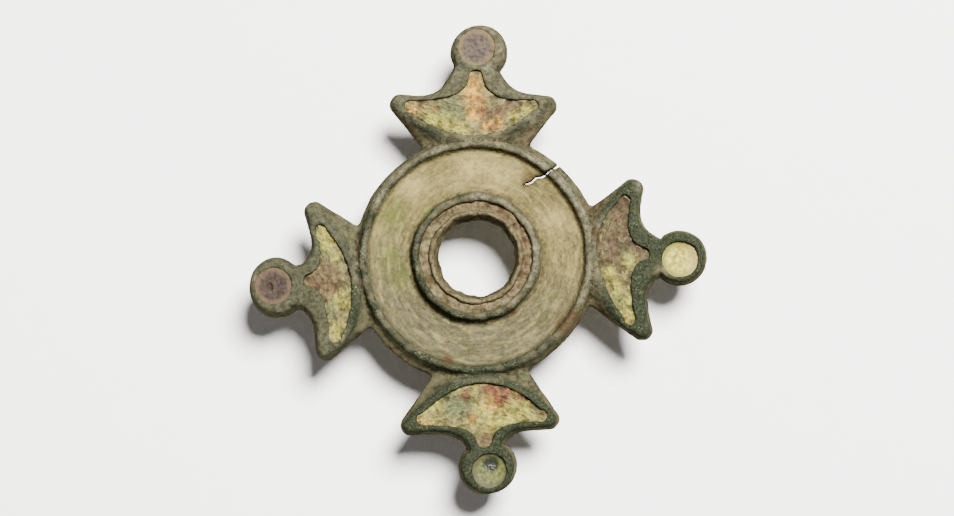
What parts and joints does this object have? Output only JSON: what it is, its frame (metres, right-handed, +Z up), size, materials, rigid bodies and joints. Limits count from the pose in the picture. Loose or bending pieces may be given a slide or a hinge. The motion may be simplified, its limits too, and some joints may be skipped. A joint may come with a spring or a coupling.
{
  "type": "roman plate brooch",
  "caption": "Cast bronze plate brooch: a pierced ring disc with crescent and knob arms, worn enamel cells, a hooked catchplate and a hinge with a broken pin root.",
  "frame": {"origin": "middle of the brooch's bounding box, on the surface it lies on", "axes": "+Z up out of the decorated face, +Y towards the arm that carries the catchplate, +X towards the arm on its right"},
  "size_m": [0.0402, 0.0412, 0.0083],
  "materials": {
    "patinated_bronze": "buried bronze with a smooth olive and dark green patina",
    "crescent_enamel_top": "decayed pale yellow enamel with an orange middle",
    "crescent_enamel_right": "decayed pale yellow enamel with brown patches",
    "crescent_enamel_bottom": "decayed yellow enamel, red-brown along its edge",
    "crescent_enamel_left": "decayed yellow enamel with a pinkish brown middle",
    "knob_enamel_top": "decayed grey-purple enamel with a tan edge",
    "knob_enamel_right": "decayed pale yellow enamel",
    "knob_enamel_bottom": "yellow-green enamel, part glassy",
    "knob_enamel_left": "decayed purple-brown enamel with a tan edge",
    "collar_enamel": "reddish brown decayed enamel, patchy",
    "rusted_iron": "rusted through, orange-brown",
    "pin_bronze": "dark green, smooth and shiny"
  },
  "bodies": {
    "root": {"brooch_body": "patinated_bronze", "crescent_enamel_top": "crescent_enamel_top", "crescent_enamel_right": "crescent_enamel_right", "crescent_enamel_bottom": "crescent_enamel_bottom", "crescent_enamel_left": "crescent_enamel_left", "knob_enamel_top": "knob_enamel_top", "knob_enamel_right": "knob_enamel_right", "knob_enamel_bottom": "knob_enamel_bottom", "knob_enamel_left": "knob_enamel_left", "collar_enamel": "collar_enamel", "hinge_axle": "rusted_iron", "pin_stub": "pin_bronze"}
  },
  "joints": []
}
